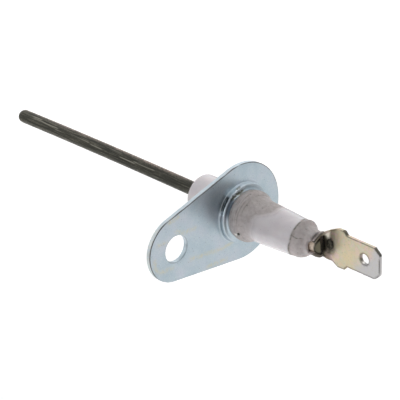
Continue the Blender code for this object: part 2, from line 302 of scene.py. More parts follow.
def sheet_metal(loops, walls, step):
    """A cut sheet. walls gives, for each loop, the (inset, height) steps from the upper face's
    rim over the cut edge to the lower face's rim. Returns points (u, v, height), faces, each
    point's distance from the cut edge, and its share of the way through the sheet."""
    points, faces, depth, share = [], [], [], []
    count = 0
    rims = {0: [], -1: []}
    rim_ids = {0: [], -1: []}
    for line, wall in zip(loops, walls):
        left = normals_of(line)
        size = len(line)
        for k, (inset, height) in enumerate(wall):
            points.append(np.c_[line + left * inset, np.full(size, height)])
            depth.append(np.full(size, inset))
            share.append(np.full(size, k / (len(wall) - 1)))
        for k in range(len(wall) - 1):
            here, below = count + k * size, count + (k + 1) * size
            faces += [(here + i, here + (i + 1) % size, below + (i + 1) % size, below + i)
                      for i in range(size)]
        for end in rims:
            rims[end].append(line + left * wall[end][0])
            start = count + (len(wall) - 1) * size if end else count
            rim_ids[end] += list(range(start, start + size))
        count += size * len(wall)
    for end, height_of in ((0, walls[0][0][1]), (-1, walls[0][-1][1])):
        strewn, triangles = filled(rims[end], step)
        ids = rim_ids[end] + list(range(count, count + len(strewn)))
        faces += [tuple(ids[i] for i in face) for face in triangles]
        points.append(np.c_[strewn, np.full(len(strewn), height_of)])
        depth.append(distance_to(strewn, rims[end][:1]) + walls[0][end][0])
        share.append(np.full(len(strewn), 1.0 if end else 0.0))
        count += len(strewn)
    return np.concatenate(points), faces, np.concatenate(depth), np.concatenate(share)


# ---------------- finishes

def tone(red, green, blue):
    """Colour from display values 0 to 255."""
    return tuple((c / 12.92 if c <= 0.04045 else ((c + 0.055) / 1.055) ** 2.4)
                 for c in (red / 255, green / 255, blue / 255)) + (1.0,)


class Nodes:
    """Builds a node tree. Each helper adds nodes and returns an output."""

    def __init__(self, tree):
        self.tree = tree

    def feed(self, socket, value):
        """Give an input a link from another output, or a plain value."""
        if isinstance(value, bpy.types.NodeSocket):
            self.tree.links.new(value, socket)
        else:
            socket.default_value = value

    def add(self, kind, output, inputs, **settings):
        """Output of a new node with the given inputs and settings."""
        node = self.tree.nodes.new("ShaderNode" + kind)
        for name, value in settings.items():
            setattr(node, name, value)
        for key, value in inputs.items():
            self.feed(node.inputs[key], value)
        return node.outputs[output]

    def span(self, value, low, high):
        """0 to 1 as value goes from low to high, smoothly."""
        inputs = {"Value": value, "From Min": low, "From Max": high}
        return self.add("MapRange", "Result", inputs, interpolation_type="SMOOTHSTEP")

    def number(self, operation, first, second):
        return self.add("Math", "Value", {0: first, 1: second}, operation=operation)

    def times(self, first, second):
        return self.number("MULTIPLY", first, second)

    def mix(self, share, first, second):
        """Colour that goes from first to second as share goes from 0 to 1."""
        return self.add("Mix", 2, {"Factor": share, 6: first, 7: second}, data_type="RGBA")

    def blend(self, share, first, second):
        """Number that goes from first to second as share goes from 0 to 1."""
        return self.add("Mix", 0, {"Factor": share, 2: first, 3: second})


class Finish(Nodes):
    """A node material, textured in the object's own coordinates."""

    def __init__(self, name):
        self.stuff = bpy.data.materials.new(name)
        self.stuff.use_nodes = True
        super().__init__(self.stuff.node_tree)
        self.shader = self.tree.nodes["Principled BSDF"]
        self.place = self.add("TexCoord", "Object", {})

    def scaled_place(self, sizes, shift):
        """Object coordinates divided by a size in mm along each axis, and moved by shift."""
        scale = [1 / (size * MM) for size in sizes]
        return self.add("Mapping", "Vector", {"Vector": self.place, "Location": shift, "Scale": scale})

    def grain(self, size, stretch=(1, 1, 1), detail=3.0, seed=0):
        """Noise from 0 to 1 with features of size mm, drawn out along each axis by stretch."""
        place = self.scaled_place([size * s for s in stretch], (seed * 3.7, seed * 1.9, seed * 5.3))
        return self.add("TexNoise", "Fac", {"Vector": place, "Scale": 1.0, "Detail": detail})

    def specks(self, size, share, seed=0):
        """1 in small round specks, one to a cell of size mm, over about this share of the cell."""
        place = self.scaled_place([size] * 3, (seed * 2.3, seed * 4.1, seed * 1.7))
        distance = self.add("TexVoronoi", "Distance", {"Vector": place, "Scale": 1.0})
        return self.span(distance, share, share * 0.5)

    def ramp(self, value, stops):
        """Colours along value; stops are (position, red, green, blue) in display values."""
        colour = self.add("ValToRGB", "Color", {"Fac": value})
        keys = colour.node.color_ramp.elements
        for position, *_ in stops[1:-1]:
            keys.new(position)
        for key, (position, *shade) in zip(keys, stops):
            key.position = position
            key.color = tone(*shade)
        return colour

    def painted(self, name):
        """A field painted on the mesh."""
        return self.add("Attribute", "Fac", {}, attribute_name=name)

    def tinted(self, colour, tints):
        """The colour with painted fields laid over it in turn, each (name of the field, tone)."""
        for name, tint in tints:
            colour = self.mix(self.painted(name), colour, tint)
        return colour

    def bump(self, height, depth, under=None):
        """Surface relief of depth mm where height goes from 0 to 1, on top of another."""
        lower = {"Normal": under} if under else {}
        return self.add("Bump", "Normal", {"Distance": depth * MM, "Height": height, **lower})

    def done(self, colour, roughness, metallic, normal, **others):
        """The finished material; others names further inputs of its shader."""
        inputs = {"Base_Color": colour, "Roughness": roughness, "Metallic": metallic,
                  "Normal": normal, **others}
        for name, value in inputs.items():
            self.feed(self.shader.inputs[name.replace("_", " ")], value)
        return self.stuff


def rod_finish():
    """Dark oxidised wire with fine lines drawn along it, painted reflections along its upper and lower
    sides, and lighter where it is rubbed bare behind the waist, with a painted highlight there too.
    """
    f = Finish("oxidised_wire")
    lines = f.grain(0.2, stretch=(24, 1, 1), detail=4)
    blotches = f.grain(0.28, stretch=(1.6, 1, 1), detail=6, seed=1)
    colour = f.ramp(lines, [(0.34, 36, 37, 29), (0.5, 63, 62, 52),
                            (0.64, 104, 100, 88)])
    colour = f.mix(f.times(f.span(blotches, 0.42, 0.62), 0.6), colour, tone(54, 54, 46))
    colour = f.mix(f.painted("dusky"), colour, tone(36, 36, 30))
    # brown: a painted reflection of the bright backdrop along the rod's upper side, tinted pinkish
    # brown
    brown = f.times(f.painted("brown"), f.span(blotches, 0.65, 0.35))
    colour = f.mix(brown, colour, tone(190, 168, 156))
    # wear at the tip, and a painted reflection of the bright backdrop along the lower side
    wear_and_sheen = f.times(f.painted("wear_and_sheen"), f.span(blotches, 0.6, 0.4))
    colour = f.mix(wear_and_sheen, colour, tone(164, 161, 150))
    faint = f.span(f.grain(0.16, stretch=(28, 1, 1), detail=2, seed=2), 0.6, 0.68)
    thin = f.span(f.grain(0.16, stretch=(50, 1, 1), detail=2, seed=4), 0.42, 0.55)
    scratches = f.number("MAXIMUM", f.times(faint, 0.25), f.times(f.painted("scratched"), thin))
    colour = f.mix(f.times(scratches, 0.5), colour, tone(186, 182, 168))
    # bare metal behind the waist, painted lighter as a highlight as well; olive on the cropped end
    colour = f.tinted(colour, [("bare_and_highlit", tone(214, 198, 182)), ("olive", tone(126, 121, 102))])
    soot = f.times(f.painted("sooty"), f.blend(blotches, 1.0, 0.6))
    colour = f.mix(soot, colour, tone(34, 33, 30))
    relief = f.bump(lines, 0.02)
    relief = f.bump(f.grain(0.3, detail=5, seed=3), 0.015, relief)
    return f.done(colour, f.blend(blotches, 0.42, 0.62), 0.55, relief)


def ceramic_finish():
    """Alumina: lilac-white under the glaze, grey-beige and dirty where it is bare, with painted shade
    over the bare zone's upper side.
    """
    f = Finish("alumina")
    glaze = f.painted("glaze")
    bare = f.ramp(f.grain(0.7, detail=6, seed=1),
                  [(0.3, 186, 177, 176), (0.7, 208, 201, 200)])
    bare = f.mix(f.times(f.specks(0.8, 0.16, seed=2), 0.5), bare, tone(120, 112, 104))
    glazed = f.ramp(f.grain(2.2, detail=4), [(0.3, 216, 209, 214), (0.7, 226, 221, 224)])
    glazed = f.mix(f.times(f.specks(1.3, 0.07, seed=4), 0.45), glazed, tone(140, 132, 128))
    colour = f.mix(glaze, bare, glazed)
    smudge = f.span(f.grain(0.35, detail=5, seed=5), 0.3, 0.75)
    # darker in the grooves, pits, beside the seam and by the glaze's end, and painted shade over the
    # bare upper side
    grime_and_shade = f.times(f.painted("grime_and_shade"), f.blend(smudge, 1.0, 0.55))
    colour = f.mix(grime_and_shade, colour, tone(92, 88, 76))
    # the black chip, and a painted white highlight beside it
    colour = f.tinted(colour, [("black", tone(38, 36, 34)), ("chip_highlight", tone(244, 242, 240))])
    roughness = f.blend(f.span(glaze, 0.0, 0.7), 0.7, 0.24)
    relief = f.bump(f.grain(0.18, detail=4, seed=6), 0.03)
    relief = f.bump(f.grain(1.2, detail=2, seed=7), 0.02, relief)
    return f.done(colour, roughness, 0.0, relief, Coat_Weight=f.times(glaze, 0.6),
                  Coat_Roughness=0.12, Subsurface_Weight=0.06, Subsurface_Scale=0.0008)


def zinc_finish():
    """Bright zinc with a bluish tint, straw-coloured streaks and fine speckles."""
    f = Finish("blue_zinc")
    colour = f.ramp(f.grain(3.5, detail=5), [(0.3, 176, 193, 203), (0.5, 186, 200, 209),
                                             (0.72, 196, 203, 213)])
    flecks = f.span(f.grain(0.35, detail=6, seed=1), 0.45, 0.7)
    colour = f.mix(f.times(flecks, 0.35), colour, tone(205, 214, 214))
    colour = f.mix(f.times(f.specks(0.9, 0.12, seed=2), 0.55), colour, tone(110, 120, 130))
    mottle = f.span(f.grain(0.22, detail=4, seed=8), 0.5, 0.7)
    colour = f.mix(f.times(mottle, 0.3), colour, tone(150, 164, 172))
    straw = f.times(f.painted("straw"), f.span(f.grain(0.5, detail=5, seed=3), 0.3, 0.6))
    colour = f.mix(f.times(straw, 0.6), colour, tone(208, 200, 172))
    # black is a painted dark reflection on the collar, blue a painted blue reflection and shade, and
    # dark holds the plate's dark rims and a painted dark line on the collar
    colour = f.tinted(colour, [("green", tone(104, 104, 90)), ("dark", tone(74, 68, 62)),
                               ("blue", tone(84, 104, 124)), ("black", tone(30, 32, 34))])
    # pale: painted highlights and sheen on the collar, pale chips, and the plate's pale cut walls
    pale = f.painted("pale")
    colour = f.mix(pale, colour, tone(226, 236, 242))
    roughness = f.blend(pale, f.blend(f.grain(1.1, detail=4, seed=4), 0.26, 0.42), 0.55)
    roughness = f.blend(f.painted("matte"), roughness, 0.78)
    relief = f.bump(f.grain(0.22, detail=4, seed=5), 0.006)
    relief = f.bump(f.grain(2.5, detail=2, seed=6), 0.02, relief)
    return f.done(colour, roughness, f.blend(pale, 0.95, 0.35), relief)


def tab_finish():
    """Plated steel with straw, pink and green tints, burnt black beside the weld, with a painted
    highlight at the blade's root and a painted lilac reflection of the ceramic on the ears.
    """
    f = Finish("tinted_steel")
    colour = f.ramp(f.grain(1.3, detail=5, seed=1),
                    [(0.36, 220, 196, 192), (0.44, 219, 199, 184),
                     (0.5, 214, 198, 168), (0.58, 206, 204, 182),
                     (0.66, 219, 199, 191)])
    colour = f.mix(f.times(f.painted("straw"), 0.8), colour, tone(218, 204, 164))
    colour = f.mix(f.painted("grey"), colour, tone(200, 198, 199))
    mottle = f.span(f.grain(0.45, detail=5, seed=2), 0.5, 0.7)
    colour = f.mix(f.times(mottle, 0.45), colour, tone(196, 194, 178))
    spots = f.span(f.grain(0.2, detail=3, seed=8), 0.55, 0.72)
    colour = f.mix(f.times(spots, 0.25), colour, tone(160, 152, 136))
    colour = f.mix(f.times(f.specks(1.0, 0.11, seed=3), 0.5), colour, tone(120, 118, 104))
    # painted lilac reflection of the ceramic on the ears' outer faces
    colour = f.mix(f.painted("lilac"), colour, tone(178, 168, 166))
    burnt = f.painted("burnt")
    scale = f.ramp(f.grain(0.4, detail=4, seed=4),
                   [(0.35, 64, 61, 52), (0.7, 128, 120, 104)])
    colour = f.mix(burnt, colour, scale)
    colour = f.mix(f.painted("dark"), colour, tone(52, 50, 42))
    # painted highlight on the blade's root and the upper ear's cut edge
    bright = f.painted("bright")
    colour = f.mix(bright, colour, tone(252, 252, 232))
    roughness = f.blend(burnt, f.blend(f.grain(0.8, detail=4, seed=5), 0.3, 0.46), 0.62)
    relief = f.bump(f.grain(0.25, stretch=(3, 1, 1), detail=4, seed=6), 0.008)
    relief = f.bump(f.grain(1.5, detail=2, seed=7), 0.02, relief)
    metal = f.blend(bright, f.blend(burnt, 0.9, 0.35), 0.2)
    return f.done(colour, roughness, metal, relief)


def weld_finish():
    """Burnt weld metal: dark scale with a few bare metal glints."""
    f = Finish("weld_scale")
    crust = f.grain(0.35, detail=6)
    colour = f.ramp(crust, [(0.35, 36, 35, 30), (0.55, 68, 65, 55),
                            (0.75, 126, 119, 102)])
    return f.done(colour, f.blend(crust, 0.45, 0.7), 0.5, f.bump(crust, 0.06))


def cement_finish():
    """Matte refractory cement with sandy grains."""
    f = Finish("cement")
    sand = f.grain(0.25, detail=6)
    colour = f.ramp(sand, [(0.35, 176, 168, 156), (0.65, 206, 200, 190)])
    colour = f.mix(f.times(f.specks(0.6, 0.2, seed=1), 0.4), colour, tone(140, 132, 120))
    return f.done(colour, 0.9, 0.0, f.bump(sand, 0.08))


def packing_finish():
    """Dark grey mica packing with flaky layers."""
    f = Finish("mica_packing")
    flakes = f.grain(0.6, stretch=(0.3, 1, 1), detail=5)
    colour = f.ramp(flakes, [(0.35, 96, 96, 98), (0.65, 138, 136, 132)])
    return f.done(colour, f.blend(flakes, 0.5, 0.8), 0.1, f.bump(flakes, 0.04))


# ---------------- rod

BEND_START_X = -17.0
BEND = 0.45  # how far the rod's tip has been bent aside
LIFT = -0.18  # how far it stands off its axis ahead of the nose
BEND_DIRECTION = np.array((0.0, -0.66, -0.75))
NECK_END_X = 18.9  # the rod shows again behind the ceramic's waist
CROP = 0.5  # length of the cropped end
BROWN_ANGLE = 60
# angle of the painted reflection along the rod's lower side
SHEEN_ANGLE = 220
SCRATCHES = (
    # from x, to x, angle
    (-61.0, -57.0, 118), (-60.5, -51.5, 132), (-49.0, -41.5, 131), (-41.0, -36.0, 128),
    (-53.0, -50.0, 150), (-42.0, -37.5, 141), (-33.0, -27.5, 137), (-29.0, -22.0, 126),
    (-36.5, -32.0, 108),
)


def rod_line():
    """Outline (x, r) of the rod: round tip, plain wire with the CAD's stop, and flat end."""
    tip = [(ROD_TIP_X + ROD_RADIUS * (1 - cos(a)), ROD_RADIUS * sin(a))
           for a in np.linspace(0, pi / 2, 16)]
    wire = [corner for corner in cad_profile("electrode_rod")
            if ROD_TIP_X + ROD_RADIUS < corner[0] and corner[1] > ROD_RADIUS - 0.01]
    end = [(ROD_END_X, ROD_RADIUS * share) for share in (0.985, 0.94, 0.8, 0.6, 0.4, 0.2, 0.0)]
    return resampled(tip + wire + end, 0.35, closed=False)


def rod_paint(points, x):
    """Fields of the rod: painted reflections along its upper side, tinted brown, and along its lower
    side, a worn tip, scratches, a rubbed stretch with a painted highlight, and a sooty cropped end.
    """
    radius, angle = polar(points)
    side = points[:, 1]
    drift = 9 * grain(points * (0.2, 1, 1), (1, 3, 3), 4)
    waver = 3 * grain(points * (1, 0, 0), 3, 5)
    scratched = np.zeros(len(points))
    for start, end, at in SCRATCHES:
        line = facing(angle, at + waver, 4.0) * window(x, start, start + 1, end - 1, end)
        scratched = np.maximum(scratched, line)
    # painted reflection of the bright backdrop along the upper side, tinted pinkish brown
    brown = bell(turn_between(angle, BROWN_ANGLE) + drift, 22) * (0.6 + 0.4 * ease(-12, -20, x))
    # painted reflection of the bright backdrop along the lower side
    lower_sheen = 0.7 * bell(turn_between(angle, SHEEN_ANGLE) + drift, 17)
    worn_tip = 0.5 * ease(ROD_TIP_X + 1.2, ROD_TIP_X + 0.3, x)
    cropped = ease(ROD_END_X - CROP, ROD_END_X - CROP + 0.1, x)
    soot = ease(-0.2, 0.05, side) * (1 - 0.7 * bell(side - 0.42, 0.16))
    return {"brown": brown,
            "wear_and_sheen": np.maximum(lower_sheen, worn_tip),
            "dusky": 0.4 * window(x, -54, -28, NECK_END_X - 0.9, NECK_END_X),
            "scratched": scratched,
            # bare metal behind the waist, also painted lighter as a highlight
            "bare_and_highlit": window(x, NECK_END_X, NECK_END_X + 0.5, ROD_END_X - CROP, ROD_END_X - 0.1),
            "sooty": cropped * np.maximum(soot, bell(radius - 1.3, 0.14)),
            "olive": cropped * ease(0.05, -0.2, side)}


def build_rod():
    """Drawn wire with fine lines along it, slightly bent, and cropped to a blunt ridge behind."""
    points, faces = spun(rod_line(), 160, closed=False)
    x = points[:, 0]
    on_side = window(x, ROD_TIP_X, ROD_TIP_X + 1.5, ROD_END_X - 0.4, ROD_END_X)
    lines = 0.012 * grain(points, (9, 0.35, 0.35), 1) + 0.006 * grain(points, (2, 0.2, 0.2), 2)
    radial = points * (0, 1, 1) / ROD_RADIUS
    points = points + radial * (lines * on_side)[:, None]
    ridge = ROD_END_X - np.abs(points[:, 1] + 0.15 * points[:, 2]) * tan(CUT_SLOPE)
    points[:, 0] = np.minimum(points[:, 0], ridge + 0.03 * grain(points, 0.5, 3))
    along = np.maximum(0, BEND_START_X - x) / (BEND_START_X - ROD_TIP_X)
    bend = LIFT * ease(0, -12, x) + BEND * along ** 2
    points = points + bend[:, None] * BEND_DIRECTION
    fields = rod_paint(points, x)
    return add_piece("electrode_wire", "electrode_rod", points, faces, fields, rod_finish(), sharp=35)


# ---------------- ceramic

TURNING_LINES = (
    # x, depth of each groove round the bare shoulder
    (2.75, 0.03), (3.2, 0.04), (3.55, 0.025), (4.0, 0.035), (4.45, 0.03), (4.95, 0.02),
)
PITS = (
    # x, angle, radius
    (5.1, 120, 0.12), (8.1, 107, 0.1), (8.7, 93, 0.09), (4.1, 93, 0.12), (18.3, 100, 0.12),
    (5.6, 20, 0.12), (7.4, 300, 0.1), (3.6, 250, 0.14), (12.1, 340, 0.09), (17.6, 255, 0.12),
)
CHIP_X = 4.35
CHIP_ANGLE = 199
SEAM_X = (16.9, 19.0)
SEAM_ANGLE = 141.5
SEAM_DEGREE = 0.055  # length of one degree at the seam
NECK_START_X = 16.9
NECK = (
    # x and radius of the waist's corners, from the bore outwards
    (19.62, 1.44), (19.66, 2.15), (19.55, 2.32), (19.2, 2.38), (18.85, 2.5), (18.5, 2.74),
    (18.15, 3.03), (17.7, 3.27), (17.2, 3.43),
)
BORE_END = (19.0, 1.5)
NECK_LIFT = 0.18  # how far the waist stands off centre
NECK_LIFT_DIRECTION = np.array((0.0, 0.67, 0.74))
END_SLANT = 0.5  # how much further the waist reaches on its upper side
UPPER_ANGLE = 50
WAIST_SWELL = ((17.0, 0.26), (18.2, -0.2))  # x and height on the waist's upper side
BARE_START = (2.1, 2.5)  # x over which the unglazed shoulder begins
GLAZE_THICKNESS = 0.05
GLAZE_START_X = 6.6
GLAZE_END_X = 15.9
GLAZE_END_SLANT = 0.85
LATE_START = 3.4  # how much later the glaze starts on the upper side
LATE_ANGLE = 55
LATE_REACH = 92


def glaze_ends(points, x, angle):
    """x where the barrel's glaze starts, late on the upper side, and x where it ends."""
    wobble = grain(np.c_[x * 0.3, points[:, 1:]], 1.6, 3)
    late = ease(LATE_REACH, 0.5 * LATE_REACH, np.abs(turn_between(angle, LATE_ANGLE)))
    start = GLAZE_START_X + 0.35 * window(angle, 60, 110, 150, 200) + LATE_START * late + 0.25 * wobble
    end = GLAZE_END_X + GLAZE_END_SLANT * np.cos(np.radians(angle - 135)) + 0.12 * wobble
    return start, end


def turning_grooves(points, x):
    """Depth in mm of the broken turning lines round the bare shoulder."""
    around = points * (0, 1, 1)
    depth = np.zeros(len(points))
    for k, (ring_x, ring_depth) in enumerate(TURNING_LINES):
        drift = 0.12 * grain(around, 3, 10 + k)
        shown = ease(-0.25, 0.2, grain(around, 2, 20 + k))
        depth += ring_depth * bell(x - ring_x - drift, 0.07) * shown
    return depth


def pitted(x, angle):
    """1 in the middle of each pit."""
    return sum(bell(np.hypot(x - pit_x, np.radians(turn_between(angle, pit_angle)) * 4.3), radius)
               for pit_x, pit_angle, radius in PITS)


def chipped(points, x, angle):
    """0 to 1 inside the chip, and 0 to 1 on the painted white highlight beside it."""
    along = x - CHIP_X
    across = np.radians(turn_between(angle, CHIP_ANGLE)) * 4.8
    chip = bell(np.hypot(along - 0.1, across * 0.8) + 0.12 * grain(points, 0.3, 7), 0.42)
    # painted white highlight beside the chip
    chip_highlight = ease(0.4, 0.8, bell(np.hypot(along + 0.44, across - 0.1), 0.42))
    return chip, chip_highlight * (1 - ease(0.4, 0.6, chip))


def mould_seam(points, x, angle):
    """Height in mm of the mould's seam along the waist, and the grime beside it."""
    gap = turn_between(angle, SEAM_ANGLE + 1.5 * np.sin(x * 4)) * SEAM_DEGREE
    shown = window(x, SEAM_X[0], SEAM_X[0] + 0.3, SEAM_X[1] - 0.4, SEAM_X[1])
    grime_and_shade = 1.1 * bell(gap - 0.15, 0.09) * ease(-0.5, 0.3, grain(points, 0.5, 8))
    return 0.08 * bell(gap, 0.12) * shown, grime_and_shade * shown


def ceramic_line():
    """Closed outline (x, r) of the insulator: the CAD's, with a waist drawn up to the rod."""
    kept = [corner for corner in cad_profile("ceramic_insulator") if corner[0] < NECK_START_X]
    bore = kept.index(min(kept, key=lambda corner: corner[1])) + 1
    line = resampled(kept[:bore] + [BORE_END, *NECK] + kept[bore:], 0.13, closed=True)
    x, radius = line.T
    plain = (radius < 1.9) & (x < 18.5) | (x > -9.4) & (x < 1.0)
    return softened(line[~plain | (np.arange(len(line)) % 4 == 0)], 2)


def build_ceramic():
    """Insulator: smooth nose, bare turned shoulder, glazed barrel, bare end with a mould seam."""
    line = ceramic_line()
    out = normals_of(line)
    out *= np.sign(out[np.argmax(line[:, 1]), 1])
    turns = 200
    points, faces = spun(line, turns, closed=True)
    normal = spun(out, turns, closed=True)[0]
    x = points[:, 0]
    radius, angle = polar(points)
    outer = ease(0.15, 0.5, np.repeat(out[:, 1], turns)) * ease(1.65, 2.0, radius)
    start, end = glaze_ends(points, x, angle)
    barrel = ease(start - 0.12, start + 0.12, x) * ease(end + 0.1, end - 0.1, x)
    bare = ease(*BARE_START, x) * (1 - barrel)

    grooves = turning_grooves(points, x) * bare
    pits = pitted(x, angle)
    chip, chip_highlight = chipped(points, x, angle)
    seam, seam_grime = mould_seam(points, x, angle)
    swell = sum(height * bell(x - at, 0.5) for at, height in WAIST_SWELL)
    beaded = 1 + 0.5 * bell(x - end, 0.35)
    relief = GLAZE_THICKNESS * barrel * ease(start - 0.2, start + 2.0, x) * beaded
    relief += swell * facing(angle, UPPER_ANGLE, 50)
    relief += 0.03 * grain(points, (6, 3, 3), 4) + 0.008 * bare * grain(points, 0.3, 5)
    relief += seam - grooves - 0.07 * pits - 0.22 * ease(0.25, 0.7, chip) - 0.1 * chip_highlight
    rim_grime = 0.3 * bell(x - end - 0.12, 0.3)
    rim_grime += 0.75 * bell(x - end - 0.1, 0.13) * ease(-0.6, 0.3, grain(points, 0.7, 6))
    # painted shade: the bare zone darker over its upper side
    upper_shade = 0.22 * facing(angle, 88, 38) * bare
    grime_and_shade = rim_grime + upper_shade + 22 * grooves + 0.8 * pits + seam_grime

    points = points + normal * (relief * outer)[:, None]
    lift = NECK_LIFT * ease(18.1, 18.9, x) * ease(1.6, 2.0, polar(points)[0])
    points = points + lift[:, None] * NECK_LIFT_DIRECTION
    upper_side = ease(100, 70, np.abs(turn_between(angle, UPPER_ANGLE)))
    points[:, 0] += END_SLANT * upper_side * ease(18.9, 19.6, x)
    thick = 0.08 * barrel + 0.92 * barrel * ease(start - 0.6, start + 2.2, x)
    fields = {"glaze": np.maximum(thick, 0.85 * ease(1.1, 0.9, x)),
              "grime_and_shade": np.clip(grime_and_shade, 0, 1) * outer,
              "black": ease(0.45, 0.75, chip),
              "chip_highlight": chip_highlight}
    return add_piece("ceramic_body", "ceramic_insulator", points, faces, fields,
                     ceramic_finish(), sharp=60)


def build_cement():
    """Cement ring with a sunk, sandy front face."""
    line = softened(resampled(cad_profile("bore_cement"), 0.08, closed=True), 2)
    points, faces = spun(line, 96, closed=True)
    front_x = line[:, 0].min()
    front = ease(front_x + 0.6, front_x + 0.2, points[:, 0])
    radius, _ = polar(points)
    middle = (line[:, 1].min() + line[:, 1].max()) / 2
    points[:, 0] += front * (0.22 * bell(radius - middle, 0.25) + 0.05 * grain(points, 0.3, 1))
    return add_piece("front_cement", "bore_cement", points, faces, {}, cement_finish(), sharp=70)


# ---------------- flange

STREAKS = (
    ((-16.2, 3.4), (-14.5, 2.4), (-13.0, 2.3), (-11.8, 2.1)),
    ((-13.8, -3.6), (-11.3, -4.2), (-8.4, -4.8), (-5.0, -5.3), (-3.0, -5.2)),
    ((-22.0, 0.2), (-22.2, -1.7), (-21.1, -2.9), (-18.2, -3.4)),
    ((-9.8, -7.2), (-7.2, -7.6), (-5.0, -7.9)),
    ((-20.8, 2.7), (-18.8, 2.4)),
    ((-17.6, 6.0), (-15.3, 6.2)),
    ((3.5, -7.6), (6.2, -5.8), (8.0, -3.2)),
)
BURR_ANGLE = 112  # the collar is battered most here
BURR_REACH = 32
CRUSHED_DEPTH = 0.07
CRUSHED = (
    # angle, radius, half turn, half width of each crushed, greenish mark on the collar's top
    (102, 5.05, 11, 0.3), (123, 5.32, 6.5, 0.4), (100, 5.85, 5.0, 0.14), (115, 5.1, 4.0, 0.2),
)
# Marked stretches of the collar: the angles where each starts, is full, fades and ends.
BLACK_WALL = (119, 127, 150, 160)
BLACK_FOOT = (128, 134, 145, 150)
REFLECTED_LINE_WALL = (157, 164, 200, 210)
BLUE_TOP = (120, 130, 152, 172)
PALE_FOOT = (100, 118, 205, 235)
PALE_CROWN = (104, 118, 205, 225)
HIGHLIGHT_TOP = (84, 90, 108, 118)


def lobe_outline(step):
    """Counter-clockwise outline of the plate: two lobes and the tangents that join them."""
    lean = acos((BIG_LOBE - SMALL_LOBE) / -SCREW_Y)
    points = []
    for radius, centre, start, end in ((BIG_LOBE, 0.0, lean - pi, pi - lean),
                                       (SMALL_LOBE, SCREW_Y, pi - lean, pi + lean)):
        angles = np.linspace(start, end, ceil(radius * (end - start) / step) + 1)
        points += [(centre + radius * cos(a), radius * sin(a)) for a in angles]
    return resampled(points, step, closed=True)


def cut_edge(upper, lower, thickness):
    """(inset, height) steps over a sheared edge, rounded by a radius above and one below."""
    steps = [(upper * 1.8, thickness), (upper, thickness)]
    steps += [(upper * (1 - sin(a)), thickness - upper * (1 - cos(a)))
              for a in (pi / 6, pi / 3, pi / 2)]
    steps += [(0.0, thickness * share) for share in (0.75, 0.6, 0.45)]
    steps += [(lower * (1 - cos(a)), lower * (1 - sin(a))) for a in (0, pi / 6, pi / 3, pi / 2)]
    return steps


def collar_wall():
    """(radius minus COLLAR_RADIUS, x) steps from the plate over the collar to the seat's lip."""
    foot = 0.14
    crown = 0.26
    steps = [(0.9, PLATE), (0.6, PLATE), (0.35, PLATE), (foot, PLATE)]
    steps += [(foot * (1 - sin(a)), PLATE + foot * (1 - cos(a))) for a in (pi / 6, pi / 3, pi / 2)]
    steps += [(-0.02, 1.3), (-0.03, 1.45), (-0.04, 1.6), (-0.05, COLLAR_TOP_X - crown)]
    steps += [(-0.05 - crown * (1 - cos(a)), COLLAR_TOP_X - crown * (1 - sin(a)))
              for a in np.linspace(pi / 8, pi / 2, 4)]
    steps += [(offset, COLLAR_TOP_X + rise) for offset, rise in (
        (-0.45, 0.0), (-0.62, 0.0), (-0.78, 0.03), (-0.92, 0.09), (-1.03, 0.17), (-1.12, 0.24),
        (-1.17, 0.25), (-1.24, 0.0))]
    bore = COLLAR_BORE - COLLAR_RADIUS
    lip = LIP_BORE - COLLAR_RADIUS
    return steps + [(bore, 1.35), (bore, LIP_X + 0.1), (bore - 0.1, LIP_X), (lip, LIP_X),
                    (lip, 0.12), (lip + 0.12, 0.0), (lip + 0.3, 0.0)]


def near_line(points, line):
    """Distance from each 2D point to a line through corners."""
    best = np.full(len(points), np.inf)
    for start, end in zip(np.array(line), np.array(line)[1:]):
        along = end - start
        share = np.clip((points - start) @ along / (along @ along), 0, 1)
        best = np.minimum(best, np.hypot(*(points - start - share[:, None] * along).T))
    return best


def plate_paint(flat, points, depth, share, radius, upper):
    """Fields of the flat plate: straw streaks, and dark rims and pale walls along its cut edges."""
    beyond = radius > COLLAR_RADIUS + 1
    cut = (share > 0.02) & (share < 0.98) & beyond
    wall = cut & (share > 0.4) & (share < 0.95)
    wander = 0.25 * grain(flat * (1, 1, 0), 0.8, 14)
    streaks = sum(bell(near_line(flat[:, :2], line) + wander, 0.36) for line in STREAKS)
    lobe_wall = 0.8 * wall * ease(-18.0, -21.0, flat[:, 0])
    from_hole = np.hypot(flat[:, 0] - SCREW_Y, flat[:, 1])
    on_hole = ease(SCREW_HOLE + 0.6, SCREW_HOLE + 0.3, from_hole)
    grimy = (1 - 0.75 * ease(-2.5, -4.5, flat[:, 1])) * (1 - 0.7 * on_hole)
    rim = beyond * bell(depth - 0.01, 0.08) * upper * ease(-0.5, 0.2, grain(points, 1.5, 8))
    below_rim = cut * (share < 0.3) * ease(-0.9, 0.0, grain(points, 2.5, 15))
    return {"straw": np.maximum(np.clip(streaks, 0, 1) * upper, lobe_wall),
            "dark": 0.95 * grimy * np.maximum(rim, below_rim),
            "pale": wall * (0.5 - 0.4 * on_hole + 0.3 * grain(points, 0.3, 13))}


